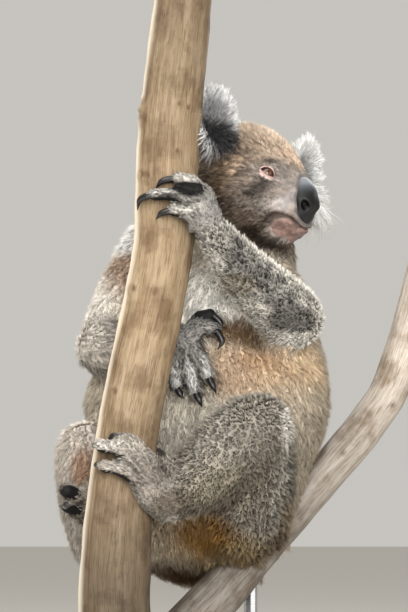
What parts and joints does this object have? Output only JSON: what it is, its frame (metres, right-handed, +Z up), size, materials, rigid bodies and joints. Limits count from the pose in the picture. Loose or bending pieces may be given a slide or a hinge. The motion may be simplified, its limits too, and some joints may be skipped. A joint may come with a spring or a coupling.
{
  "type": "koala on display stand",
  "caption": "Life-size still koala with fluffy ears, gripping the cut fork of a small tree with its hands and feet, on a flat base with steel rods.",
  "frame": {"origin": "under the middle of the stand, on the flat underside of the base", "axes": "+Z up the tree stem, -Y towards the viewer on the side of the hands, +X to the side branch and the nose"},
  "size_m": [0.4461, 0.3054, 0.803],
  "materials": {
    "grey_coat": "short woolly fur",
    "brown_coat": "short woolly fur",
    "pale_coat": "long soft fur",
    "paw_coat": "very short fur with bare leathery pads",
    "nose_leather": "bare, slightly damp leather",
    "eye": "clear wet gloss over brown",
    "claw_horn": "polished dark horn",
    "bare_wood": "smooth bare weathered wood",
    "base_wood": "dark satin wood",
    "steel": "brushed"
  },
  "bodies": {
    "root": {"claw_left_foot_1": "claw_horn", "claw_left_foot_2": "claw_horn", "claw_left_foot_3": "claw_horn", "claw_left_hand_1": "claw_horn", "claw_left_hand_2": "claw_horn", "claw_left_hand_3": "claw_horn", "claw_left_hand_4": "claw_horn", "claw_left_hand_5": "claw_horn", "claw_right_foot_2": "claw_horn", "claw_right_foot_3": "claw_horn", "claw_right_foot_4": "claw_horn", "claw_right_hand_1": "claw_horn", "claw_right_hand_2": "claw_horn", "claw_right_hand_3": "claw_horn", "claw_right_hand_4": "claw_horn", "claw_right_hand_5": "claw_horn", "ear_left": "pale_coat", "ear_right": "pale_coat", "eye_left": "eye", "eye_right": "eye", "forearm_left": "grey_coat", "forearm_right": "grey_coat", "head": "brown_coat", "left_foot": "paw_coat", "left_hand": "paw_coat", "neck": "pale_coat", "nose": "nose_leather", "perch_branch": "bare_wood", "perch_trunk": "bare_wood", "right_foot": "paw_coat", "right_hand": "paw_coat", "shank_left": "grey_coat", "shank_right": "grey_coat", "stand_base": "base_wood", "stand_rod_branch": "steel", "stand_rod_trunk": "steel", "thigh_left": "grey_coat", "thigh_right": "grey_coat", "torso": "brown_coat", "upper_arm_left": "grey_coat", "upper_arm_right": "brown_coat"}
  },
  "joints": []
}
